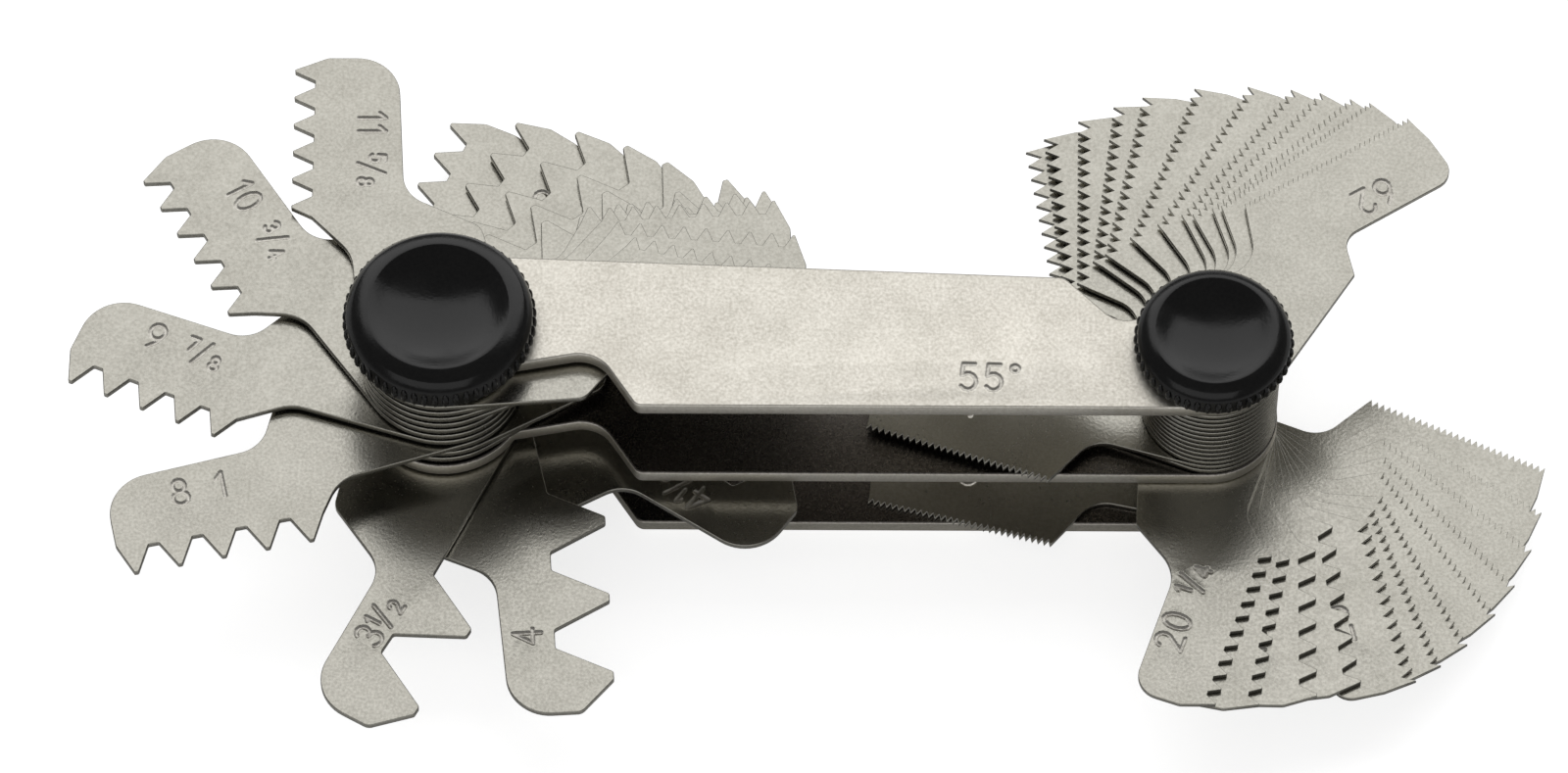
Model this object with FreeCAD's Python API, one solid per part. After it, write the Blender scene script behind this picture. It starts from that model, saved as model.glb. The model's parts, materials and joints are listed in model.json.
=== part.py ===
import FreeCAD, Part
import math
import os
from collections import namedtuple

from FreeCAD import Placement, Rotation, Vector

# Whitworth (55 degree) screw pitch gauge, in millimetres.
#
# Three flat steel plates are held apart by two packs of blades on each of two
# pivot screws, and a knob on top of each screw clamps its packs.
# X runs from the large pivot to the small one, Y away from the user and Z up.
# The origin is midway between the pivots, on the underside of the bottom plate.

# ---- driving dimensions -------------------------------------------------------

PIVOT_SPACING = 55.2
PLATE_THICKNESS = 1.2
UPPER_PACK_HEIGHT = 8.6
LOWER_PACK_HEIGHT = 6.1
LARGE_BLADE_THICKNESS = 0.5
SMALL_BLADE_THICKNESS = 0.4

SHANK_RADIUS = 2.0
BORE_CLEARANCE = 0.02           # running fit of a blade or a nut on the shank
HEAD_RADIUS = 3.3
SCREW_SLOT_WIDTH = 0.8
SCREW_SLOT_DEPTH = 0.6

LARGE_END_RADIUS = 6.0          # rounded ends of the plates
SMALL_END_RADIUS = 5.0
FAR_EDGE_Y = 5.5                # the far edge of a plate runs along X
NEAR_EDGE_Y = -5.6              # the near edge at the origin
NEAR_EDGE_SLOPE = 0.036         # and how fast it closes in towards the small pivot

INCH = 25.4
THREAD_ANGLE = math.radians(55.0)
TOOTH_DEPTH = 0.64              # Whitworth depth, in pitches
CREST_FLAT = 0.1                # in pitches
COARSE_LIMIT = 20               # up to this many threads per inch the teeth are truncated

# Every blade repeats its bore and its round hub, so both are drawn in short chords.
BORE_SIDES = 12
HUB_SIDES = 18

# ---- levels -------------------------------------------------------------------

BOTTOM_PLATE_Z = 0.0
LOWER_PACK_Z = BOTTOM_PLATE_Z + PLATE_THICKNESS
MIDDLE_PLATE_Z = LOWER_PACK_Z + LOWER_PACK_HEIGHT
UPPER_PACK_Z = MIDDLE_PLATE_Z + PLATE_THICKNESS
TOP_PLATE_Z = UPPER_PACK_Z + UPPER_PACK_HEIGHT
KNOB_GAP = 0.05
KNOB_Z = TOP_PLATE_Z + PLATE_THICKNESS + KNOB_GAP

CENTRE = Vector(0, 0, 0)
UP = Vector(0, 0, 1)
LARGE_PIVOT = Vector(-PIVOT_SPACING / 2, 0, 0)
SMALL_PIVOT = Vector(PIVOT_SPACING / 2, 0, 0)

# ---- blades -------------------------------------------------------------------

# A blank is a blade before its teeth are cut. Its hub is on the local origin, it
# points along +x and its teeth are on the +y side. Behind the teeth the back edge
# dips in at the neck and comes out again at the shoulder, where a thumb catches it.
Blank = namedtuple("Blank", "hub thickness tooth_line reach tooth_start last_crest inner "
                            "inner_radius back tip_radius neck neck_radius shoulder shoulder_radius")

LARGE_BLANK = Blank(hub=5.8, thickness=LARGE_BLADE_THICKNESS, tooth_line=11.15, reach=25.5,
                    tooth_start=11.4, last_crest=24.4, inner=Vector(8.9, 6.7, 0), inner_radius=3.0,
                    back=3.6, tip_radius=3.2, neck=Vector(13.9, 3.0, 0), neck_radius=2.6,
                    shoulder=Vector(11.2, -2.6, 0), shoulder_radius=1.2)
# The coarsest teeth start right at the hub and stop short of a rounder tip.
COARSEST_BLANK = LARGE_BLANK._replace(tooth_start=9.4, last_crest=22.5, reach=25.3)
# The small blades of fine pitch are narrow.
SMALL_BLANK = Blank(hub=4.9, thickness=SMALL_BLADE_THICKNESS, tooth_line=9.6, reach=23.2,
                    tooth_start=8.8, last_crest=22.8, inner=Vector(7.0, 5.2, 0), inner_radius=2.4,
                    back=3.6, tip_radius=1.5, neck=Vector(13.4, 3.5, 0), neck_radius=1.6,
                    shoulder=Vector(12.4, 0.5, 0), shoulder_radius=0)
# The small blades of coarse pitch are wider, and their teeth stand nearer the pivot.
WIDE_SMALL_BLANK = SMALL_BLANK._replace(tooth_line=7.8, reach=22.4, tooth_start=8.6,
                                        last_crest=21.5, inner=Vector(6.2, 4.9, 0), back=1.8,
                                        tip_radius=1.8, neck=Vector(12.2, 1.7, 0), neck_radius=3.0,
                                        shoulder=Vector(9.6, -2.2, 0), shoulder_radius=1.2)
COARSEST_LIMIT = 5              # below this a large blade is cut from the coarsest blank
TIP_LEAN = 2.4                  # the end of a blade leans back over this height

# Each pack from the top down: threads per inch, and the direction the blade points in.
UPPER_LARGE_PACK = [(18, -10.7), (16, -3.0), (15, 4.9), (12, 8.0), (11, 92.0), (10, 122.4),
                    (9, 159.2), (8, 193.6), (11.5, 13.0), (7, 18.0)]
LOWER_LARGE_PACK = [(3.5, 241.8), (4, 275.0), (4.5, -34.5), (5, 31.0), (6, 38.5), (7, 47.0),
                    (8, 57.0), (9, 68.0)]
UPPER_SMALL_PACK = [(62, 33.0), (60, 40.3), (48, 43.8), (40, 49.2), (36, 54.2), (32, 61.5),
                    (30, 70.5), (28, 79.3), (27, 84.3), (26, 90.6), (24, 97.0), (22, 100.5),
                    (54, 163.0), (58, 158.0)]
LOWER_SMALL_PACK = [(20, 252.2), (19, 260.0), (13, 270.8), (14, 279.5), (25, 285.0), (34, 290.5),
                    (38, 297.0), (42, 305.0), (44, 312.0), (46, 320.0), (50, 328.0), (52, 337.2),
                    (56, 167.0)]

# ---- knobs --------------------------------------------------------------------

# A knob stands on a straight band, leans in to a flat lip and has a dish in its top.
Knob = namedtuple("Knob", "radius band height lip dish dish_floor dish_depth nut_radius")
LARGE_KNOB = Knob(radius=6.95, band=1.9, height=2.9, lip=6.1, dish=5.0, dish_floor=3.4,
                  dish_depth=1.0, nut_radius=3.2)
SMALL_KNOB = Knob(radius=5.75, band=1.6, height=2.5, lip=5.0, dish=4.2, dish_floor=2.9,
                  dish_depth=0.9, nut_radius=2.9)
NUT_HEIGHT = 1.3
SCREW_END_GAP = 0.2


def polar(radius, angle):
    return Vector(radius * math.cos(angle), radius * math.sin(angle), 0)


def tangent_angle(centre, radius, outside, side):
    """Direction of the point where a line from outside touches a circle; side is +1 or -1."""
    away = outside - centre
    return math.atan2(away.y, away.x) + side * math.acos(radius / away.Length)


def rounded_path(corners):
    """Edges through (point, radius) corners, each rounded by an arc unless its radius is 0."""
    edges = []
    here = corners[0][0]
    for (before, _), (corner, radius), (after, _) in zip(corners, corners[1:], corners[2:]):
        if radius == 0:
            edges.append(Part.makeLine(here, corner))
            here = corner
            continue
        back = (before - corner).normalize()
        ahead = (after - corner).normalize()
        half = back.getAngle(ahead) / 2
        start = corner + back * (radius / math.tan(half))
        end = corner + ahead * (radius / math.tan(half))
        middle = corner + (back + ahead).normalize() * (radius / math.sin(half) - radius)
        edges.append(Part.makeLine(here, start))
        edges.append(Part.Arc(start, middle, end).toShape())
        here = end
    edges.append(Part.makeLine(here, corners[-1][0]))
    return edges


def slab(edges, height):
    """Flat piece of the given height on a closed run of edges."""
    return Part.Face(Part.Wire(edges)).extrude(UP * height)


def whitworth_teeth(threads_per_inch, blank):
    """Outline points of the toothed edge, from the hub end to the tip."""
    pitch = INCH / threads_per_inch
    slope = math.tan(THREAD_ANGLE / 2)
    truncated = threads_per_inch <= COARSE_LIMIT
    depth = TOOTH_DEPTH * pitch if truncated else pitch / (2 * slope)
    half_crest = CREST_FLAT * pitch / 2 if truncated else 0.0
    root_line = blank.tooth_line - depth
    count = int((blank.last_crest - blank.tooth_start) / pitch) + 1
    points = []
    for index in reversed(range(count)):
        crest = blank.last_crest - index * pitch
        if truncated:
            points += [Vector(crest - half_crest - depth * slope, root_line, 0),
                       Vector(crest - half_crest, blank.tooth_line, 0),
                       Vector(crest + half_crest, blank.tooth_line, 0)]
            if index > 0:
                points.append(Vector(crest + half_crest + depth * slope, root_line, 0))
        else:
            points += [Vector(crest - pitch / 2, root_line, 0),
                       Vector(crest, blank.tooth_line, 0)]
    return points


def hub_points(radius, start, end):
    """Chord points round a hub, anticlockwise from one angle to the other."""
    steps = math.ceil((end - start) / (2 * math.pi / HUB_SIDES))
    return [polar(radius, start + (end - start) * step / steps) for step in range(steps + 1)]


def bore(thickness):
    """Prism to cut a blade's bore with; its flats clear the shank by the running fit."""
    corner_radius = (SHANK_RADIUS + BORE_CLEARANCE) / math.cos(math.pi / BORE_SIDES)
    corners = [polar(corner_radius, 2 * math.pi * side / BORE_SIDES)
               for side in range(BORE_SIDES + 1)]
    return slab(Part.makePolygon(corners).Edges, thickness)


def blade(threads_per_inch, blank):
    teeth = whitworth_teeth(threads_per_inch, blank)
    inner_angle = tangent_angle(CENTRE, blank.hub, blank.inner, 1)
    shoulder_angle = tangent_angle(CENTRE, blank.hub, blank.shoulder, -1) + 2 * math.pi
    corners = [(point, 0) for point in hub_points(blank.hub, inner_angle, shoulder_angle)]
    corners += [(blank.shoulder, blank.shoulder_radius),
                (blank.neck, blank.neck_radius),
                (Vector(blank.reach, blank.back, 0), blank.tip_radius),
                (Vector(blank.reach, blank.tooth_line - TIP_LEAN, 0), 0)]
    corners += [(point, 0) for point in reversed(teeth)]
    if teeth[0].y > blank.inner.y + blank.inner_radius / 2:
        corners.append((blank.inner, blank.inner_radius))
    corners.append(corners[0])
    return slab(rounded_path(corners), blank.thickness).cut(bore(blank.thickness))


def blade_pack(pack, blank_for, pivot, base_z, height, suffix):
    """The blades of one pack in their places, by node name."""
    leaves = {}
    for level, (threads_per_inch, pointing) in enumerate(reversed(pack)):
        blank = blank_for(threads_per_inch)
        leaf = blade(threads_per_inch, blank)
        gap = (height - len(pack) * blank.thickness) / (len(pack) + 1)
        lift = UP * (base_z + gap + level * (blank.thickness + gap))
        leaf.Placement = Placement(pivot + lift, Rotation(UP, pointing))
        name = "blade_" + str(threads_per_inch).replace(".", "_") + "_tpi" + suffix
        leaves[name] = leaf
    return leaves


def large_blank(threads_per_inch):
    return COARSEST_BLANK if threads_per_inch < COARSEST_LIMIT else LARGE_BLANK


def small_blank(threads_per_inch):
    return WIDE_SMALL_BLANK if threads_per_inch <= COARSE_LIMIT else SMALL_BLANK


# ---- plates -------------------------------------------------------------------

def near_edge(x):
    return Vector(x, NEAR_EDGE_Y + NEAR_EDGE_SLOPE * x, 0)


def far_edge(x):
    return Vector(x, FAR_EDGE_Y, 0)


def end_arc(pivot, radius, start, end):
    """Rounded end of a plate, anticlockwise about its pivot from one angle to the other."""
    return Part.Arc(pivot + polar(radius, start), pivot + polar(radius, (start + end) / 2),
                    pivot + polar(radius, end)).toShape()


def plate():
    """Tapered bar with a rounded end about each pivot and a thumb notch near each end."""
    far_notch = [(far_edge(16.9), 1.2), (Vector(20.7, 1.9, 0), 2.2)]
    near_notch = [(near_edge(-13.4), 0.8), (Vector(-16.4, -1.7, 0), 2.6)]
    far_notch_end = math.radians(150)
    near_notch_end = math.radians(-30)
    far_start = tangent_angle(LARGE_PIVOT, LARGE_END_RADIUS, far_edge(16.9), 1)
    near_start = tangent_angle(SMALL_PIVOT, SMALL_END_RADIUS, near_edge(-13.4), 1)
    large_end = [LARGE_PIVOT + polar(LARGE_END_RADIUS, angle) for angle in (far_start, near_notch_end)]
    small_end = [SMALL_PIVOT + polar(SMALL_END_RADIUS, angle) for angle in (near_start, far_notch_end)]
    edges = rounded_path([(large_end[0], 0)] + far_notch + [(small_end[1], 0)])
    edges.append(end_arc(SMALL_PIVOT, SMALL_END_RADIUS, far_notch_end, near_start))
    edges += rounded_path([(small_end[0], 0)] + near_notch + [(large_end[1], 0)])
    edges.append(end_arc(LARGE_PIVOT, LARGE_END_RADIUS, near_notch_end, far_start - 2 * math.pi))
    bar = slab(edges, PLATE_THICKNESS)
    for pivot in (LARGE_PIVOT, SMALL_PIVOT):
        bar = bar.cut(Part.makeCylinder(SHANK_RADIUS, PLATE_THICKNESS, pivot))
    return bar


def head_cone(pivot):
    return Part.makeCone(HEAD_RADIUS, SHANK_RADIUS, PLATE_THICKNESS, pivot)


# ---- screws, knobs and nuts -----------------------------------------------------

def pivot_screw(pivot):
    """Slotted countersunk screw, flush under the bottom plate, ending inside the nut."""
    top = KNOB_Z + NUT_HEIGHT - SCREW_END_GAP
    screw = Part.makeCylinder(SHANK_RADIUS, top, pivot).fuse(head_cone(pivot))
    slot = Part.makeBox(2 * HEAD_RADIUS, SCREW_SLOT_WIDTH, SCREW_SLOT_DEPTH)
    slot.translate(pivot - Vector(HEAD_RADIUS, SCREW_SLOT_WIDTH / 2, 0))
    return screw.cut(slot)


def knob_nut(knob, pivot):
    """Bush moulded into the knob, threaded on the screw."""
    base = pivot + UP * KNOB_Z
    bush = Part.makeCylinder(knob.nut_radius, NUT_HEIGHT, base)
    return bush.cut(Part.makeCylinder(SHANK_RADIUS + BORE_CLEARANCE, NUT_HEIGHT, base))


def clamp_knob(knob, pivot):
    """Moulded knob, turned from its half section, with a blind pocket for its nut."""
    dish_floor = knob.height - knob.dish_depth
    section = [Vector(radius, 0, height) for radius, height in (
        (0, NUT_HEIGHT), (knob.nut_radius, NUT_HEIGHT), (knob.nut_radius, 0), (knob.radius, 0),
        (knob.radius, knob.band), (knob.lip, knob.height), (knob.dish, knob.height),
        (knob.dish_floor, dish_floor), (0, dish_floor), (0, NUT_HEIGHT))]
    solid = Part.Face(Part.makePolygon(section)).revolve(CENTRE, UP, 360)
    solid.translate(pivot + UP * KNOB_Z)
    return solid


# ---- assembly -------------------------------------------------------------------

blank_plate = plate()
nodes = {}
for name, level in (("bottom_plate", BOTTOM_PLATE_Z), ("middle_plate", MIDDLE_PLATE_Z),
                    ("top_plate", TOP_PLATE_Z)):
    nodes[name] = blank_plate.translated(UP * level)
for pivot in (LARGE_PIVOT, SMALL_PIVOT):
    nodes["bottom_plate"] = nodes["bottom_plate"].cut(head_cone(pivot))

for size, knob, pivot in (("large", LARGE_KNOB, LARGE_PIVOT), ("small", SMALL_KNOB, SMALL_PIVOT)):
    nodes[size + "_pivot_screw"] = pivot_screw(pivot)
    nodes[size + "_knob_nut"] = knob_nut(knob, pivot)
    nodes[size + "_knob"] = clamp_knob(knob, pivot)

# Some pitches come twice in the large packs: the lower pack repeats them for plain threads.
for pack, blank_for, pivot, base_z, height, suffix in (
        (UPPER_LARGE_PACK, large_blank, LARGE_PIVOT, UPPER_PACK_Z, UPPER_PACK_HEIGHT, ""),
        (LOWER_LARGE_PACK, large_blank, LARGE_PIVOT, LOWER_PACK_Z, LOWER_PACK_HEIGHT, "_plain"),
        (UPPER_SMALL_PACK, small_blank, SMALL_PIVOT, UPPER_PACK_Z, UPPER_PACK_HEIGHT, ""),
        (LOWER_SMALL_PACK, small_blank, SMALL_PIVOT, LOWER_PACK_Z, LOWER_PACK_HEIGHT, "")):
    nodes.update(blade_pack(pack, blank_for, pivot, base_z, height, suffix))

os.makedirs("parts", exist_ok=True)
for name, shape in nodes.items():
    shape.exportStep("parts/" + name + ".step")
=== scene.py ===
import json
import math
from collections import namedtuple

import bmesh
import bpy
from mathutils import Matrix, Vector
from mathutils.geometry import delaunay_2d_cdt, intersect_point_line


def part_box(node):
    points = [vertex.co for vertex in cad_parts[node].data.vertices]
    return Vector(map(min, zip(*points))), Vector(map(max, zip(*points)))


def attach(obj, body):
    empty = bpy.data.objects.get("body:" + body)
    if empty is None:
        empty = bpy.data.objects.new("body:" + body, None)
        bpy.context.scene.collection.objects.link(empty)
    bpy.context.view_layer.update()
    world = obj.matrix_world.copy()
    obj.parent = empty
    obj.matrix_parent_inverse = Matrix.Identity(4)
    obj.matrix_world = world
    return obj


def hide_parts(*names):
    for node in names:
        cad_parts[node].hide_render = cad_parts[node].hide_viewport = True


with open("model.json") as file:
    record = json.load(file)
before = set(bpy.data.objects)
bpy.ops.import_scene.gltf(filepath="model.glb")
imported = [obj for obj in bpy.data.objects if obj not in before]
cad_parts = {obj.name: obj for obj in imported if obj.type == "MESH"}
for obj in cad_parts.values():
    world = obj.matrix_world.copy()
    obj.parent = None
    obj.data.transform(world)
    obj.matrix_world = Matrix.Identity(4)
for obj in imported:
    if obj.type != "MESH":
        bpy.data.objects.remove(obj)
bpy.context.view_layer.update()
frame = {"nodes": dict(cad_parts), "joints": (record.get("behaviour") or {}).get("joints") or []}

# ---- plates ---------------------------------------------------------------------
# Three flat bars of nickel-plated steel carry the pivot screws at their two ends.
# They are blanked from sheet and tumbled, so that every edge is a little rolled over,
# and each has two thumb notches that uncover the backs of the folded blades.

MM = 0.001                              # outlines are drawn in millimetres
ARC_STEP = math.radians(7)
PLATE_EDGE = 0.16                       # how far the rolled edge reaches in
GRID = 0.075                            # spacing of the points of stamped figures
GROOVE_WIDTH = 0.34
GROOVE_DEPTH = 0.07
GROOVE_SLOPE = 1.6                      # how steeply its sides fall to its flat floor
FLOOR_SHARE = 0.3                       # of the depth, below which the floor takes the painted groove tone
LIP_HEIGHT = 0.012                      # stamping raises the metal beside its grooves
LIP_PLACE, LIP_WIDTH = 1.4, 0.4         # in units of half a groove's width
LARGE_END_RADIUS = 6.0
SMALL_END_RADIUS = 5.0
FAR_EDGE_Y = 5.5
NEAR_EDGE_Y = -5.6
NEAR_EDGE_SLOPE = 0.036
FAR_NOTCH = [(16.9, FAR_EDGE_Y, 1.2), (20.7, 1.9, 2.2)]     # (x, y, corner radius)
NEAR_NOTCH = [(-13.4, NEAR_EDGE_Y - 13.4 * NEAR_EDGE_SLOPE, 0.8), (-16.4, -1.7, 2.6)]
SHANK_RADIUS = 2.0
HEAD_RADIUS = 3.3
ANGLE_PLACE = Vector((9.6, -4.0, 0))    # where the thread angle is stamped
ANGLE_HEIGHT = 2.1

turns = {joint["child"]: joint for joint in frame["joints"]}
LARGE_PIVOT = Vector(turns["large_knob"]["pos_m"][:2]) / MM
SMALL_PIVOT = Vector(turns["small_knob"]["pos_m"][:2]) / MM


def arc(centre, radius, start, end):
    """Points of an arc from one angle to another, each a sharp (x, y, radius) corner."""
    steps = math.ceil(abs(end - start) / ARC_STEP)
    angles = [start + (end - start) * step / steps for step in range(steps + 1)]
    return [(centre[0] + radius * math.cos(angle), centre[1] + radius * math.sin(angle), 0)
            for angle in angles]


def tangent_angle(centre, radius, outside, side):
    """Direction of the point where a line from outside touches a circle; side is +1 or -1."""
    away = Vector(outside[:2]) - Vector(centre)
    return math.atan2(away.y, away.x) + side * math.acos(radius / away.length)


def rounded(corners):
    """Points of a closed outline with its (x, y, radius) corners rounded, anticlockwise."""
    points = []
    neighbours = zip(corners[-1:] + corners[:-1], corners, corners[1:] + corners[:1])
    for before, corner, after in neighbours:
        here, radius = Vector(corner[:2]), corner[2]
        if radius == 0:
            points.append(here)
            continue
        back = (Vector(before[:2]) - here).normalized()
        ahead = (Vector(after[:2]) - here).normalized()
        half = back.angle(ahead) / 2
        centre = here + (back + ahead).normalized() * (radius / math.sin(half))
        first = here + back * (radius / math.tan(half)) - centre
        last = here + ahead * (radius / math.tan(half)) - centre
        start = math.atan2(first.y, first.x)
        sweep = math.remainder(math.atan2(last.y, last.x) - start, 2 * math.pi)
        points += [Vector(point[:2]) for point in arc(centre, radius, start, start + sweep)]
    area = sum(before.cross(here) for before, here in zip(points[-1:] + points[:-1], points))
    return points if area > 0 else points[::-1]


def inset(loop, distance):
    """A closed loop of points moved inwards, or outwards for a hole, with mitred corners."""
    moved = []
    for before, here, after in zip(loop[-1:] + loop[:-1], loop, loop[1:] + loop[:1]):
        first = (here - before).normalized().orthogonal()
        second = (after - here).normalized().orthogonal()
        moved.append(here + (first + second) * (distance / (1 + first.dot(second))))
    return moved


def stamped_points(strokes):
    """Fine staggered grid round the strokes: points with their distances from the nearest."""
    found = {}
    for start, end in strokes:
        low = [math.floor((min(start[axis], end[axis]) - GROOVE_WIDTH) / GRID) for axis in (0, 1)]
        high = [math.ceil((max(start[axis], end[axis]) + GROOVE_WIDTH) / GRID) for axis in (0, 1)]
        for row in range(low[1], high[1] + 1):
            for column in range(low[0] - 1, high[0] + 1):
                point = Vector(((column + 0.5 * (row % 2)) * GRID, row * GRID))
                _, along = intersect_point_line(point, start, end)
                nearest = start.lerp(end, min(1, max(0, along)))
                distance = (point - nearest).length
                _, known = found.get((row, column), (point, GROOVE_WIDTH))
                if distance < known:
                    found[(row, column)] = (point, distance)
    return list(found.values())


def stamped_height(distance):
    """Height of the metal at that distance from a stroke: a groove between two raised lips."""
    across = 2 * distance / GROOVE_WIDTH
    if across < 1:
        return -GROOVE_DEPTH * min(1, GROOVE_SLOPE * (1 - across))
    return LIP_HEIGHT * max(0, 1 - abs(across - LIP_PLACE) / LIP_WIDTH)


def sheet_metal(name, outline, holes, thickness, edge, strokes):
    """Sheet metal piece with rolled edges; each hole is (centre, lower radius, upper radius).
    Strokes are stamped into its top face as grooves, with floors of the second material."""
    rolled = edge * (1 - math.cos(math.pi / 4))
    levels = [(edge, 0), (rolled, rolled), (0, edge), (0, thickness - edge),
              (rolled, thickness - rolled), (edge, thickness)]
    form = bmesh.new()
    rims_by_level = []
    for reach, height in levels:
        rims = [inset(outline, reach)]
        for centre, lower, upper in holes:
            radius = lower + (upper - lower) * height / thickness + reach
            rims.append([Vector(point[:2]) for point in arc(centre, radius, 0, 2 * math.pi)[:-1]])
        rims_by_level.append([[form.verts.new((*point, height)) for point in rim] for rim in rims])
    for lower_rims, upper_rims in zip(rims_by_level, rims_by_level[1:]):
        for lower_rim, upper_rim in zip(lower_rims, upper_rims):
            for here in range(len(lower_rim)):
                form.faces.new((lower_rim[here - 1], lower_rim[here],
                                upper_rim[here], upper_rim[here - 1]))
    for rims, level, stamped in ((rims_by_level[0], 0, []),
                                 (rims_by_level[-1], thickness, stamped_points(strokes))):
        corners = [vertex for rim in rims for vertex in rim]
        numbers = iter(range(len(corners)))
        loops = [[next(numbers) for _ in rim] for rim in rims]
        flat = [vertex.co.xy for vertex in corners] + [point for point, _ in stamped]
        corners += [form.verts.new((*point, level + stamped_height(distance)))
                    for point, distance in stamped]
        _, _, triangles, origins, _, owners = delaunay_2d_cdt(flat, [], loops, 0, 1e-6)
        for triangle, owner in zip(triangles, owners):
            if owner == [0]:
                face = form.faces.new([corners[origins[number][0]] for number in triangle])
                bottom = min(corner.co.z for corner in face.verts)
                # Groove floors take the second material, a painted tone for the shade and glint of
                # the groove.
                face.material_index = int(bottom < level - FLOOR_SHARE * GROOVE_DEPTH)
    bmesh.ops.recalc_face_normals(form, faces=form.faces)
    for face in form.faces:
        face.smooth = True
    for rim in rims_by_level[0] + rims_by_level[-1]:
        for here in range(len(rim)):
            form.edges.get((rim[here - 1], rim[here])).smooth = False
    mesh = bpy.data.meshes.new(name)
    form.to_mesh(mesh)
    form.free()
    return mesh


def bow(x, y, across, up, start, end):
    """Points of a bowed pen stroke about a centre, between two directions in degrees."""
    steps = math.ceil(abs(end - start) / 30)
    angles = [math.radians(start + (end - start) * step / steps) for step in range(steps + 1)]
    return [(x + across * math.cos(angle), y + up * math.sin(angle)) for angle in angles]


# Each character is drawn in pen strokes, in a box one unit high, beside its own width.
CHARACTERS = {
    "0": (0.56, [bow(0.28, 0.50, 0.28, 0.50, 90, 450)]),
    "1": (0.26, [[(0.02, 0.76), (0.24, 1.00), (0.24, 0.00)]]),
    "2": (0.56, [bow(0.28, 0.72, 0.26, 0.28, 165, -35) + [(0.02, 0.00), (0.56, 0.00)]]),
    "3": (0.56, [bow(0.27, 0.75, 0.24, 0.25, 150, -90), bow(0.27, 0.26, 0.28, 0.26, 90, -150)]),
    "4": (0.58, [[(0.42, 0.00), (0.42, 1.00), (0.00, 0.30), (0.58, 0.30)]]),
    "5": (0.56, [[(0.50, 1.00), (0.10, 1.00), (0.06, 0.55)],
                 bow(0.27, 0.32, 0.28, 0.32, 135, -145)]),
    "6": (0.56, [bow(0.28, 0.30, 0.28, 0.30, 90, 450), [(0.02, 0.38), (0.16, 0.72), (0.42, 1.00)]]),
    "7": (0.56, [[(0.00, 1.00), (0.56, 1.00), (0.18, 0.00)]]),
    "8": (0.56, [bow(0.28, 0.76, 0.22, 0.24, 90, 450), bow(0.28, 0.26, 0.28, 0.26, 90, 450)]),
    "9": (0.56, [bow(0.28, 0.70, 0.28, 0.30, 90, 450), [(0.54, 0.62), (0.40, 0.28), (0.14, 0.00)]]),
    "/": (0.44, [[(0.00, 0.00), (0.44, 1.00)]]),
    "°": (0.28, [bow(0.14, 0.86, 0.13, 0.13, 90, 450)]),
}
LETTER_GAP = 0.30


def written(text, height, place, size=1.0, rise=0.0):
    """Strokes of characters written from a place matrix on, and the place that follows them.
    Size and rise are those of a fraction's small figures, in units of the height."""
    strokes = []
    pen = 0.0
    for character in text:
        box_width, lines = CHARACTERS[character]
        for line in lines:
            ends = [(place @ Vector(((pen + x * size) * height, (rise + y * size) * height, 0))).xy
                    for x, y in line]
            strokes += list(zip(ends, ends[1:]))
        pen += (box_width + LETTER_GAP) * size
    return strokes, place @ Matrix.Translation((pen * height, 0, 0))


def finish_piece(name, mesh, place):
    """Piece of the object: a mesh in millimetres, put in its place in metres."""
    mesh.transform(Matrix.Scale(MM, 4) @ place)
    piece = bpy.data.objects.new(name, mesh)
    bpy.context.scene.collection.objects.link(piece)
    return piece


NOISE_LOW, NOISE_HIGH = 0.3, 0.7        # nearly all of a noise lies between these


def plain_material(name):
    """New node material with its nodes, links and shader."""
    material = bpy.data.materials.new(name)
    material.use_nodes = True
    tree = material.node_tree
    return material, tree.nodes, tree.links, tree.nodes["Principled BSDF"]


def grain(nodes, links, size, detail=3.0):
    """Noise of that grain size, in metres, laid through the piece."""
    place = nodes.new("ShaderNodeTexCoord")
    noise = nodes.new("ShaderNodeTexNoise")
    noise.inputs["Scale"].default_value = 1 / size
    noise.inputs["Detail"].default_value = detail
    links.new(place.outputs["Object"], noise.inputs["Vector"])
    return noise.outputs["Fac"]


def ramp(nodes, links, source, low, high):
    """A value spread evenly between two others."""
    spread = nodes.new("ShaderNodeMapRange")
    spread.inputs["From Min"].default_value = NOISE_LOW
    spread.inputs["From Max"].default_value = NOISE_HIGH
    spread.inputs["To Min"].default_value = low
    spread.inputs["To Max"].default_value = high
    links.new(source, spread.inputs["Value"])
    return spread.outputs["Result"]


def tint(nodes, links, source, dark, light):
    """A colour between two others."""
    colours = nodes.new("ShaderNodeValToRGB")
    colours.color_ramp.elements[0].position = NOISE_LOW
    colours.color_ramp.elements[0].color = (*dark, 1)
    colours.color_ramp.elements[1].position = NOISE_HIGH
    colours.color_ramp.elements[1].color = (*light, 1)
    links.new(source, colours.inputs["Fac"])
    return colours.outputs["Color"]


def bump(nodes, links, source, height):
    """Surface relief of that height in metres."""
    relief = nodes.new("ShaderNodeBump")
    relief.inputs["Distance"].default_value = height
    links.new(source, relief.inputs["Height"])
    return relief.outputs["Normal"]


CLOUD_SIZE, CLOUD_SHARE = 0.0032, 0.3
SPECKLE_SIZE, SPECKLE_SHARE = 0.00022, 0.7
PEBBLE_HEIGHT = 0.000008


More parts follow.
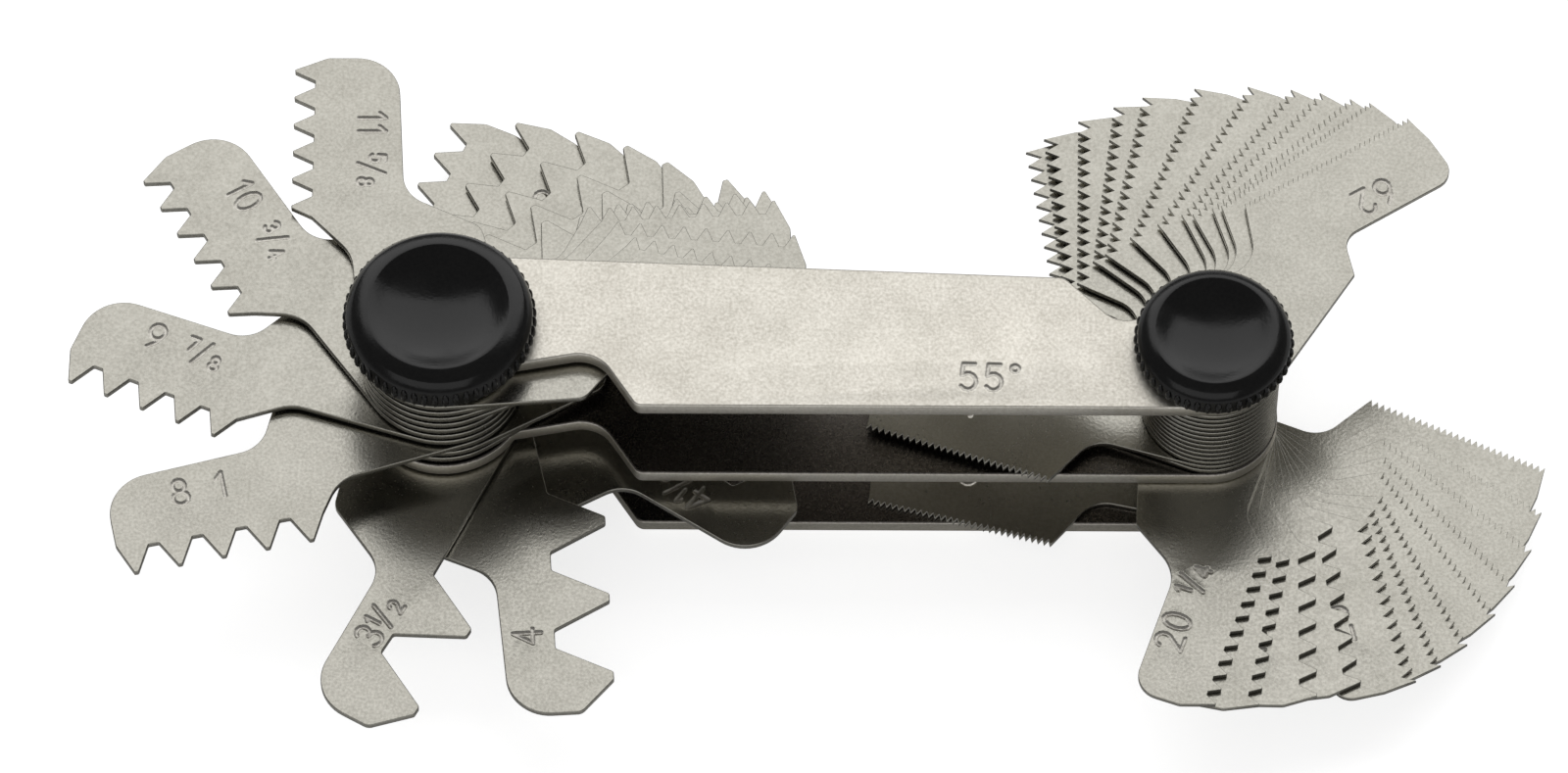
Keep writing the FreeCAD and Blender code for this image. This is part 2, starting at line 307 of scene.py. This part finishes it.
def nickel(name, dark, light, smooth, rough):
    """Satin nickel plate: clouded colour, a fine pebbled grain and a rubbed sheen."""
    material, nodes, links, shader = plain_material(name)
    shader.inputs["Metallic"].default_value = 1.0
    clouds = grain(nodes, links, CLOUD_SIZE)
    speckle = grain(nodes, links, SPECKLE_SIZE, 2.0)
    mixed = nodes.new("ShaderNodeMath")
    mixed.operation = "MULTIPLY_ADD"
    mixed.inputs[1].default_value = CLOUD_SHARE
    links.new(clouds, mixed.inputs[0])
    share = nodes.new("ShaderNodeMath")
    share.operation = "MULTIPLY"
    share.inputs[1].default_value = SPECKLE_SHARE
    links.new(speckle, share.inputs[0])
    links.new(share.outputs["Value"], mixed.inputs[2])
    links.new(tint(nodes, links, mixed.outputs["Value"], dark, light), shader.inputs["Base Color"])
    links.new(ramp(nodes, links, mixed.outputs["Value"], rough, smooth), shader.inputs["Roughness"])
    links.new(bump(nodes, links, speckle, PEBBLE_HEIGHT), shader.inputs["Normal"])
    return material


plate_nickel = nickel("plate_nickel", (0.60, 0.57, 0.50), (0.76, 0.73, 0.66), 0.34, 0.50)
# Painted groove tone: darker than the plate nickel as painted shade in the top plate's figures,
# lighter than the blade steel as a painted highlight in the blades' figures.
painted_groove_nickel = nickel("painted_groove_nickel", (0.40, 0.38, 0.34), (0.58, 0.56, 0.51), 0.30, 0.45)
# The upper faces of the plates inside the gauge are painted dark: painted shade in the gaps between
# the plates.
gap_shade_nickel = nickel("gap_shade_nickel", (0.10, 0.09, 0.08), (0.20, 0.185, 0.17), 0.22, 0.34)


def plate_outline():
    """Tapered bar with round ends, and a thumb notch on one side of each end."""
    far_start = tangent_angle(LARGE_PIVOT, LARGE_END_RADIUS, FAR_NOTCH[0], 1)
    near_start = tangent_angle(SMALL_PIVOT, SMALL_END_RADIUS, NEAR_NOTCH[0], 1)
    small_end = arc(SMALL_PIVOT, SMALL_END_RADIUS, math.radians(150), near_start)
    large_end = arc(LARGE_PIVOT, LARGE_END_RADIUS, math.radians(-30), far_start - 2 * math.pi)
    return rounded(FAR_NOTCH + small_end + NEAR_NOTCH + large_end)


for name in ("bottom_plate", "middle_plate", "top_plate"):
    low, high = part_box(name)
    thickness = (high.z - low.z) / MM
    lower = HEAD_RADIUS if name == "bottom_plate" else SHANK_RADIUS
    holes = [(pivot, lower, SHANK_RADIUS) for pivot in (LARGE_PIVOT, SMALL_PIVOT)]
    strokes = []
    if name == "top_plate":
        strokes, _ = written("55°", ANGLE_HEIGHT, Matrix.Translation(ANGLE_PLACE))
    mesh = sheet_metal(name, plate_outline(), holes, thickness, PLATE_EDGE, strokes)
    mesh.materials.append(plate_nickel)
    mesh.materials.append(painted_groove_nickel if strokes else gap_shade_nickel)
    # Painted shade: the upper faces of the bottom and middle plates, inside the gaps of the stack,
    # take the dark nickel.
    if not strokes:
        for face in mesh.polygons:
            face.material_index = int(face.normal.z > 0.9)
    piece = finish_piece(name + "_finished", mesh, Matrix.Translation((0, 0, low.z / MM)))
    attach(piece, "holder")
    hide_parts(name)

# ---- blades ---------------------------------------------------------------------
# Each blade is blanked from thin spring steel with its teeth milled along one side.
# It turns on its pivot screw, and its threads per inch are stamped along its back,
# followed by the screw size that has that thread as standard.

INCH = 25.4
THREAD_ANGLE = math.radians(55)
TOOTH_DEPTH = 0.64
CREST_FLAT = 0.1
COARSE_LIMIT = 20
COARSEST_LIMIT = 5
TIP_LEAN = 2.4
TIP_CORNER_RADIUS = 0.8
WEAR = 0.04                             # radius of a worn tooth's corners, in pitches
WORN_PITCH = 30                         # finer teeth stay sharp; in rolled edges
STANDARD_SIZES = {8: "1", 9: "7/8", 10: "3/4", 11: "5/8", 12: "1/2", 14: "7/16", 16: "3/8",
                  18: "5/16", 20: "1/4"}

# The label is where the first figure's foot stands; it reads from the tip towards the hub.
Blank = namedtuple("Blank", "hub edge tooth_line reach tooth_start last_crest inner back "
                            "tip_radius neck shoulder label")
LARGE_BLANK = Blank(hub=5.8, edge=0.06, tooth_line=11.15, reach=25.5, tooth_start=11.4,
                    last_crest=24.4, inner=(8.9, 6.7, 3.0), back=3.6, tip_radius=3.2,
                    neck=(13.9, 3.0, 2.6), shoulder=(11.2, -2.6, 1.2), label=(20.8, 6.4, 0))
COARSEST_BLANK = LARGE_BLANK._replace(tooth_start=9.4, last_crest=22.5, reach=25.3,
                                      label=(19.6, 6.1, 0))
SMALL_BLANK = Blank(hub=4.9, edge=0.045, tooth_line=9.6, reach=23.2, tooth_start=8.8,
                    last_crest=22.8, inner=(7.0, 5.2, 2.4), back=3.6, tip_radius=1.5,
                    neck=(13.4, 3.5, 1.6), shoulder=(12.4, 0.5, 0), label=(18.6, 6.2, 0))
WIDE_SMALL_BLANK = SMALL_BLANK._replace(tooth_line=7.8, reach=22.4, tooth_start=8.6,
                                        last_crest=21.5, inner=(6.2, 4.9, 2.4), back=1.8,
                                        tip_radius=1.8, neck=(12.2, 1.7, 3.0),
                                        shoulder=(9.6, -2.2, 1.2), label=(18.4, 4.1, 0))
FIGURE_HEIGHT = 2.0
SMALL_FIGURE = 0.56                     # of a fraction, in units of the figure height
BEFORE_SIZE = 1.5                       # bare metal between the pitch and the screw size
FRACTION_OVERLAP = 0.2


def teeth(threads_per_inch, blank):
    """Corners of the toothed edge, from the tip to the hub end, with their small radii."""
    pitch = INCH / threads_per_inch
    slope = math.tan(THREAD_ANGLE / 2)
    truncated = threads_per_inch <= COARSE_LIMIT
    depth = TOOTH_DEPTH * pitch if truncated else pitch / (2 * slope)
    crest_half = CREST_FLAT * pitch / 2 if truncated else 0
    root = blank.tooth_line - depth
    count = int((blank.last_crest - blank.tooth_start) / pitch) + 1
    worn = WEAR * pitch if pitch > WORN_PITCH * blank.edge else 0
    corners = []
    for index in range(count):
        crest = blank.last_crest - index * pitch
        if truncated:
            if index > 0:
                corners.append((crest + crest_half + depth * slope, root, worn))
            corners += [(crest + crest_half, blank.tooth_line, worn),
                        (crest - crest_half, blank.tooth_line, worn),
                        (crest - crest_half - depth * slope, root, worn)]
        else:
            corners += [(crest, blank.tooth_line, worn), (crest - pitch / 2, root, worn)]
    return corners


def blade_outline(threads_per_inch, blank):
    """Outline of a blade that points along X, with its pivot at the origin."""
    toothed = teeth(threads_per_inch, blank)
    inner_angle = tangent_angle((0, 0), blank.hub, blank.inner, 1)
    shoulder_angle = tangent_angle((0, 0), blank.hub, blank.shoulder, -1) + 2 * math.pi
    corners = arc((0, 0), blank.hub, inner_angle, shoulder_angle)
    corners += [blank.shoulder, blank.neck, (blank.reach, blank.back, blank.tip_radius),
                (blank.reach, blank.tooth_line - TIP_LEAN, TIP_CORNER_RADIUS)]
    corners += toothed
    if toothed[-1][1] > blank.inner[1] + blank.inner[2] / 2:
        corners.append(blank.inner)
    return rounded(corners)


def farthest(points):
    """Direction of the point that is farthest from the origin."""
    point = max(points, key=lambda p: p.length)
    return math.atan2(point.y, point.x)


def label_strokes(threads, size, blank):
    """Strokes of a blade's stamped label: its threads per inch, then its standard screw size."""
    pen = Matrix.Translation(blank.label) @ Matrix.Rotation(math.pi, 4, "Z")
    whole, half = divmod(threads, 1)
    strokes, pen = written(str(int(whole)), FIGURE_HEIGHT, pen)
    fraction = "1/2" if half else size
    if not half:
        pen = pen @ Matrix.Translation((BEFORE_SIZE, 0, 0))
    upper, bar, lower = fraction.partition("/")
    if not bar:
        return strokes + written(upper, FIGURE_HEIGHT, pen)[0]
    for text, small, rise in ((upper, SMALL_FIGURE, 1 - SMALL_FIGURE), (bar, 1, 0),
                              (lower, SMALL_FIGURE, 0)):
        start = pen @ Matrix.Translation((-FRACTION_OVERLAP, 0, 0))
        more, pen = written(text, FIGURE_HEIGHT, start, small, rise)
        strokes += more
    return strokes


blade_steel = nickel("blade_steel", (0.34, 0.328, 0.288), (0.46, 0.447, 0.40), 0.18, 0.29)

for node, joint in turns.items():
    if not node.startswith("blade_"):
        continue
    threads = float(node.removeprefix("blade_").split("_tpi")[0].replace("_", "."))
    pivot = Vector(joint["pos_m"][:2])
    large = pivot.x < 0
    if large:
        blank = COARSEST_BLANK if threads < COARSEST_LIMIT else LARGE_BLANK
    else:
        blank = WIDE_SMALL_BLANK if threads <= COARSE_LIMIT else SMALL_BLANK
    low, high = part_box(node)
    thickness = (high.z - low.z) / MM
    outline = blade_outline(threads, blank)
    corners = [vertex.co.xy - pivot for vertex in frame["nodes"][node].data.vertices]
    pointing = farthest(corners) - farthest(outline)
    size = "" if node.endswith("plain") else STANDARD_SIZES.get(threads, "")
    strokes = label_strokes(threads, size, blank)
    holes = [((0, 0), SHANK_RADIUS, SHANK_RADIUS)]
    mesh = sheet_metal(node, outline, holes, thickness, blank.edge, strokes)
    mesh.materials.append(blade_steel)
    mesh.materials.append(painted_groove_nickel)
    place = Matrix.Translation((pivot.x / MM, pivot.y / MM, low.z / MM))
    place = place @ Matrix.Rotation(pointing, 4, "Z")
    piece = finish_piece(node + "_finished", mesh, place)
    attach(piece, node)
    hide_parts(node)

# ---- pivot screws ---------------------------------------------------------------
# Slotted countersunk screws of turned steel come up through the plates from below
# and end inside the knobs, where their threads hold.

TURN_STEPS = 96
SLOT_WIDTH = 0.8
SLOT_DEPTH = 0.6
HEAD_RIM = [(-0.12, 0), (-0.03, 0.04), (-0.05, 0.14)]       # rounding, from the head's corner
END_CHAMFER = 0.3
SHARP_ANGLE = math.radians(32)
WELD = 0.002                            # closes the seams that cutting leaves


def turned_mesh(name, profile):
    """Closed mesh turned about Z from (radius, height) points that start and end on the axis."""
    form = bmesh.new()
    rings = []
    for radius, height in profile:
        if radius == 0:
            rings.append([form.verts.new((0, 0, height))] * TURN_STEPS)
            continue
        angles = [2 * math.pi * step / TURN_STEPS for step in range(TURN_STEPS)]
        rings.append([form.verts.new((radius * math.cos(angle), radius * math.sin(angle), height))
                      for angle in angles])
    for lower, upper in zip(rings, rings[1:]):
        for step in range(TURN_STEPS):
            after = (step + 1) % TURN_STEPS
            corners = dict.fromkeys((lower[step], lower[after], upper[after], upper[step]))
            form.faces.new(list(corners))
    bmesh.ops.recalc_face_normals(form, faces=form.faces)
    mesh = bpy.data.meshes.new(name)
    form.to_mesh(mesh)
    form.free()
    mesh.shade_smooth()
    mesh.set_sharp_from_angle(angle=SHARP_ANGLE)
    return mesh


def slotted(mesh, width, depth):
    """A turned screw with a straight slot cut across its lower end."""
    target = bpy.data.objects.new("screw", mesh)
    form = bmesh.new()
    size = Matrix.Diagonal((4 * HEAD_RADIUS, width, 2 * depth, 1))
    bmesh.ops.create_cube(form, size=1, matrix=size)
    block = bpy.data.meshes.new("slot")
    form.to_mesh(block)
    form.free()
    cutter = bpy.data.objects.new("slot", block)
    for holder in (target, cutter):
        bpy.context.scene.collection.objects.link(holder)
    cut = target.modifiers.new("slot", "BOOLEAN")
    cut.object = cutter
    cut.solver = "EXACT"
    view = bpy.context.evaluated_depsgraph_get()
    result = bpy.data.meshes.new_from_object(target.evaluated_get(view))
    bpy.data.objects.remove(target)
    bpy.data.objects.remove(cutter)
    form = bmesh.new()
    form.from_mesh(result)
    bmesh.ops.remove_doubles(form, verts=form.verts, dist=WELD)
    bmesh.ops.holes_fill(form, edges=form.edges, sides=0)
    bmesh.ops.recalc_face_normals(form, faces=form.faces)
    form.to_mesh(result)
    form.free()
    result.shade_smooth()
    result.set_sharp_from_angle(angle=SHARP_ANGLE)
    return result


def turned_steel():
    """Lathe-turned steel: only a fine grained relief, the colour is even and oily."""
    material, nodes, links, shader = plain_material("turned_steel")
    shader.inputs["Metallic"].default_value = 1.0
    stains = grain(nodes, links, 0.0009)
    links.new(tint(nodes, links, stains, (0.42, 0.41, 0.39), (0.60, 0.59, 0.57)),
              shader.inputs["Base Color"])
    links.new(ramp(nodes, links, stains, 0.42, 0.26), shader.inputs["Roughness"])
    links.new(bump(nodes, links, grain(nodes, links, 0.00012), 0.000008), shader.inputs["Normal"])
    return material


screw_steel = turned_steel()

for size, pivot in (("large", LARGE_PIVOT), ("small", SMALL_PIVOT)):
    low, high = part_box(size + "_pivot_screw")
    top = high.z / MM
    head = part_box("bottom_plate")[1].z / MM
    profile = [(0, 0)] + [(HEAD_RADIUS + inwards, up) for inwards, up in HEAD_RIM]
    profile += [(SHANK_RADIUS, head), (SHANK_RADIUS, top - END_CHAMFER),
                (SHANK_RADIUS - END_CHAMFER, top), (0, top)]
    mesh = turned_mesh(size + "_pivot_screw", profile)
    mesh.materials.append(screw_steel)
    mesh = slotted(mesh, SLOT_WIDTH, SLOT_DEPTH)
    piece = finish_piece(size + "_pivot_screw_finished", mesh, Matrix.Translation((*pivot, 0)))
    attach(piece, "holder")
    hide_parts(size + "_pivot_screw")

# ---- knobs ------------------------------------------------------------------------
# A knob is moulded in black phenolic plastic round a turned brass nut. Its lip slopes
# out to a knurled band, its top is dished, and it is buffed to a dull gloss.


def brass():
    """Turned brass, a little tarnished."""
    material, nodes, links, shader = plain_material("turned_brass")
    shader.inputs["Metallic"].default_value = 1.0
    stains = grain(nodes, links, 0.0008)
    links.new(tint(nodes, links, stains, (0.62, 0.42, 0.17), (0.80, 0.60, 0.30)),
              shader.inputs["Base Color"])
    links.new(ramp(nodes, links, stains, 0.40, 0.24), shader.inputs["Roughness"])
    links.new(bump(nodes, links, grain(nodes, links, 0.0001), 0.000006), shader.inputs["Normal"])
    return material


def phenolic():
    """Black moulding: a deep, slightly brown black with dust in its polish."""
    material, nodes, links, shader = plain_material("black_phenolic")
    shader.inputs["IOR"].default_value = 1.42
    flow = grain(nodes, links, 0.0022)
    dust = grain(nodes, links, 0.00022, 2.0)
    links.new(tint(nodes, links, dust, (0.002, 0.002, 0.0022), (0.006, 0.0058, 0.0055)),
              shader.inputs["Base Color"])
    links.new(ramp(nodes, links, flow, 0.24, 0.14), shader.inputs["Roughness"])
    links.new(bump(nodes, links, dust, 0.000006), shader.inputs["Normal"])
    return material


nut_brass = brass()
knob_black = phenolic()


def knurl_tree():
    """Geometry nodes that stand a rib at every step of a circle."""
    tree = bpy.data.node_groups.new("knurl", "GeometryNodeTree")
    sockets = {}
    for label, kind, value in (("Band Radius", "NodeSocketFloat", 6.7),
                               ("Ribs", "NodeSocketInt", 56),
                               ("Rib Radius", "NodeSocketFloat", 0.25),
                               ("Rib Height", "NodeSocketFloat", 1.6),
                               ("Plastic", "NodeSocketMaterial", None)):
        socket = tree.interface.new_socket(name=label, in_out="INPUT", socket_type=kind)
        if value is not None:
            socket.default_value = value
        sockets[label] = socket.identifier
    tree.interface.new_socket(name="Geometry", in_out="OUTPUT", socket_type="NodeSocketGeometry")
    given = tree.nodes.new("NodeGroupInput")
    out = tree.nodes.new("NodeGroupOutput")
    circle = tree.nodes.new("GeometryNodeMeshCircle")
    rib = tree.nodes.new("GeometryNodeMeshIcoSphere")
    stretch = tree.nodes.new("ShaderNodeCombineXYZ")
    shape = tree.nodes.new("GeometryNodeTransform")
    stand = tree.nodes.new("GeometryNodeInstanceOnPoints")
    real = tree.nodes.new("GeometryNodeRealizeInstances")
    paint = tree.nodes.new("GeometryNodeSetMaterial")
    rib.inputs["Radius"].default_value = 1
    rib.inputs["Subdivisions"].default_value = 2
    links = tree.links
    links.new(given.outputs["Ribs"], circle.inputs["Vertices"])
    links.new(given.outputs["Band Radius"], circle.inputs["Radius"])
    links.new(given.outputs["Rib Radius"], stretch.inputs["X"])
    links.new(given.outputs["Rib Radius"], stretch.inputs["Y"])
    links.new(given.outputs["Rib Height"], stretch.inputs["Z"])
    links.new(rib.outputs["Mesh"], shape.inputs["Geometry"])
    links.new(stretch.outputs["Vector"], shape.inputs["Scale"])
    links.new(circle.outputs["Mesh"], stand.inputs["Points"])
    links.new(shape.outputs["Geometry"], stand.inputs["Instance"])
    links.new(stand.outputs["Instances"], real.inputs["Geometry"])
    links.new(real.outputs["Geometry"], paint.inputs["Geometry"])
    links.new(given.outputs["Plastic"], paint.inputs["Material"])
    links.new(paint.outputs["Geometry"], out.inputs["Geometry"])
    return tree, sockets


knurl, knurl_inputs = knurl_tree()


def knurl_mesh(band_radius, ribs, rib_radius, rib_height):
    """Plain mesh of the ribs round one knob."""
    holder = bpy.data.objects.new("knurl", bpy.data.meshes.new("knurl"))
    bpy.context.scene.collection.objects.link(holder)
    made = holder.modifiers.new("knurl", "NODES")
    made.node_group = knurl
    for label, value in (("Band Radius", band_radius), ("Ribs", ribs), ("Rib Radius", rib_radius),
                         ("Rib Height", rib_height / 2), ("Plastic", knob_black)):
        made[knurl_inputs[label]] = value
    view = bpy.context.evaluated_depsgraph_get()
    mesh = bpy.data.meshes.new_from_object(holder.evaluated_get(view))
    bpy.data.objects.remove(holder)
    return mesh


Knob = namedtuple("Knob", "radius band height lip dish dish_depth nut_radius ribs")
KNOBS = {"large": Knob(radius=6.95, band=1.75, height=2.9, lip=6.2, dish=5.0, dish_depth=1.3,
                       nut_radius=3.2, ribs=56),
         "small": Knob(radius=5.75, band=1.5, height=2.5, lip=5.1, dish=4.2, dish_depth=1.1,
                       nut_radius=2.9, ribs=46)}
RIB_RADIUS = 0.26
POCKET_DEPTH = 1.3
LIP_DROP = 0.35                         # of the lip's outer rim below the knob's top
RIM = 0.12                              # size of the small roundings at the knob's rims
BOWL_STEPS = 14


def knob_profile(knob):
    """Half section of a knob: its nut pocket, its band, its sloping lip and its dish."""
    inner_band = knob.radius - RIB_RADIUS
    edge = knob.height - LIP_DROP
    profile = [(0, POCKET_DEPTH), (knob.nut_radius, POCKET_DEPTH), (knob.nut_radius, 0),
               (inner_band - 0.15, 0), (inner_band, RIM), (inner_band, knob.band)]
    profile += [(inner_band - 0.08, knob.band + 0.2), (knob.lip, edge - 0.08),
                (knob.lip - RIM, edge)]
    profile += [(knob.dish + 0.25, knob.height - 0.02), (knob.dish + 0.1, knob.height),
                (knob.dish, knob.height - 0.04)]
    bowl_radius = (knob.dish ** 2 + knob.dish_depth ** 2) / (2 * knob.dish_depth)
    bowl_floor = knob.height - knob.dish_depth
    for step in range(1, BOWL_STEPS):
        radius = (knob.dish - RIM) * (1 - step / BOWL_STEPS)
        sag = bowl_radius - math.sqrt(bowl_radius ** 2 - radius ** 2)
        profile.append((radius, bowl_floor + sag))
    return profile + [(0, bowl_floor)]


for size, pivot in (("large", LARGE_PIVOT), ("small", SMALL_PIVOT)):
    knob = KNOBS[size]
    base = Matrix.Translation((*pivot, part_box(size + "_knob")[0].z / MM))
    mesh = turned_mesh(size + "_knob", knob_profile(knob))
    mesh.materials.append(knob_black)
    body = finish_piece(size + "_knob_moulding", mesh, base)
    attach(body, size + "_knob")
    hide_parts(size + "_knob")
    mesh = knurl_mesh(knob.radius - RIB_RADIUS, knob.ribs, RIB_RADIUS, knob.band - 0.1)
    middle = base @ Matrix.Translation((0, 0, knob.band / 2 + 0.05))
    ribs = finish_piece(size + "_knob_knurl", mesh, middle)
    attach(ribs, size + "_knob")
    nut = frame["nodes"][size + "_knob_nut"]
    nut.data.materials.clear()
    nut.data.materials.append(nut_brass)

# ---- bench, light and camera --------------------------------------------------------
# The gauge lies on a white bench under broad soft lamps, seen from above its near side.

CAMERA_DISTANCE = 0.700
BENCH_HALF = 2
BENCH_TOP = -0.00002                    # just clear of the bottom plate
CAMERA_HEIGHT_ANGLE = math.radians(60.3)
CAMERA_TURN = math.radians(1.809)
CAMERA_LENS = 222.1
CAMERA_TARGET = Vector((-0.003084, 0.001713, 0.008))

bench = bpy.data.meshes.new("bench")
bench.from_pydata([(x * BENCH_HALF, y * BENCH_HALF, BENCH_TOP)
                   for x, y in ((-1, -1), (1, -1), (1, 1), (-1, 1))], [], [(0, 1, 2, 3)])
bench_top = bpy.data.objects.new("bench", bench)
bpy.context.scene.collection.objects.link(bench_top)


def bench_white():
    """Matt white board that shows pure white to the camera outside the gauge's own shadow."""
    material, nodes, links, shader = plain_material("bench_white")
    shader.inputs["Base Color"].default_value = (0.82, 0.82, 0.82, 1)
    shader.inputs["Roughness"].default_value = 0.9
    path = nodes.new("ShaderNodeLightPath")
    lift = nodes.new("ShaderNodeMath")
    lift.operation = "MULTIPLY"
    lift.inputs[1].default_value = 0.75
    links.new(path.outputs["Is Camera Ray"], lift.inputs[0])
    shader.inputs["Emission Color"].default_value = (1, 1, 1, 1)
    links.new(lift.outputs["Value"], shader.inputs["Emission Strength"])
    return material


bench.materials.append(bench_white())


def area_lamp(name, place, width, height, watts):
    """Rectangular soft lamp that faces the gauge."""
    lamp = bpy.data.lights.new(name, "AREA")
    lamp.shape = "RECTANGLE"
    lamp.size = width
    lamp.size_y = height
    lamp.energy = watts
    holder = bpy.data.objects.new(name, lamp)
    holder.location = place
    holder.rotation_euler = (-Vector(place)).to_track_quat("-Z", "Y").to_euler()
    bpy.context.scene.collection.objects.link(holder)


area_lamp("window", (0, 0.428, 0.420), 1.0, 0.68, 2.6)
area_lamp("front_lamp", (-0.10, -0.55, 0.36), 1.0, 0.45, 0.9)

world = bpy.data.worlds.new("room")
world.use_nodes = True
world.node_tree.nodes["Background"].inputs["Color"].default_value = (1, 1, 1, 1)
world.node_tree.nodes["Background"].inputs["Strength"].default_value = 0.18
bpy.context.scene.world = world

camera = bpy.data.cameras.new("camera")
camera.lens = CAMERA_LENS
camera.sensor_width = 36
camera.clip_start = 0.01
camera_holder = bpy.data.objects.new("camera", camera)
turn = Matrix.Rotation(CAMERA_TURN, 3, "Z")
ahead = turn @ Vector((0, math.cos(CAMERA_HEIGHT_ANGLE), -math.sin(CAMERA_HEIGHT_ANGLE)))
camera_holder.location = CAMERA_TARGET - ahead * CAMERA_DISTANCE
camera_holder.rotation_euler = (math.pi / 2 - CAMERA_HEIGHT_ANGLE, 0, CAMERA_TURN)
bpy.context.scene.collection.objects.link(camera_holder)
bpy.context.scene.camera = camera_holder
bpy.context.scene.view_settings.view_transform = "Standard"
